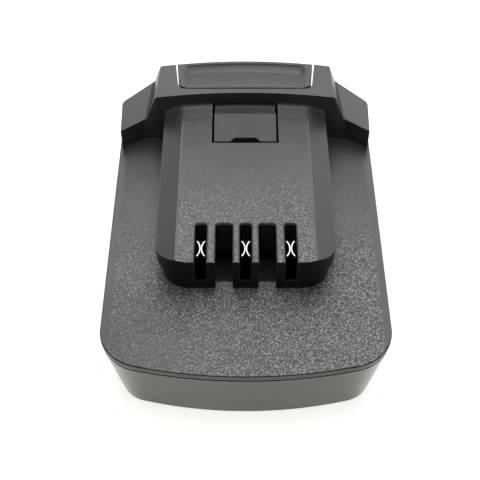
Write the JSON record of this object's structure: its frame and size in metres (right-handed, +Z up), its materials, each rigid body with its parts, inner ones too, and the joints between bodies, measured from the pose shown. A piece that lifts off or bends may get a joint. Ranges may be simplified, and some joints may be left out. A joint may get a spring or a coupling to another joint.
{
  "type": "tool battery adapter",
  "caption": "Slide-on adapter between a cordless tool and another make of battery: slotted contact tongue with rail edges on top, open battery bay underneath, sprung release latch at the rear.",
  "frame": {"origin": "on the ground, under the middle of the body's outline", "axes": "+Z up from the battery bay to the tongue, +Y from the bowed front edge to the release latch, +X to the right seen from the front"},
  "size_m": [0.076, 0.105, 0.0334],
  "materials": {
    "housing_plastic": "fine spark texture on deck and block, satin elsewhere",
    "latch_plastic": "satin",
    "spring_steel": "bright drawn",
    "plated_contact": "tin plated",
    "board_laminate": "solder resist",
    "resistor_body": "satin",
    "screw_steel": "zinc plated",
    "carrier_plastic": "satin, filled nylon",
    "red_insulation": "satin",
    "black_insulation": "satin",
    "solder": "bright"
  },
  "bodies": {
    "housing": {"upper_housing": "housing_plastic", "lower_housing": "housing_plastic", "latch_spring_left": "spring_steel", "latch_spring_right": "spring_steel", "positive_clip": "plated_contact", "signal_clip": "plated_contact", "negative_clip": "plated_contact", "contact_board": "board_laminate", "id_resistor": "resistor_body", "contact_board_screws": "screw_steel", "blade_carrier": "carrier_plastic", "positive_blade": "plated_contact", "negative_blade": "plated_contact", "blade_carrier_screws": "screw_steel", "positive_wire": "red_insulation", "negative_wire": "black_insulation", "clip_solder": "solder", "lead_solder": "solder", "case_screws": "screw_steel"},
    "latch": {"release_latch": "latch_plastic"}
  },
  "joints": [
    {"name": "latch_press", "type": "slide", "parent": "housing", "child": "latch", "axis": [0, 0, -1], "range_m": [0, 0.0035], "stiffness_N_per_m": 1600, "springref_m": -0.003, "deforming": ["latch_spring_left", "latch_spring_right"]}
  ]
}
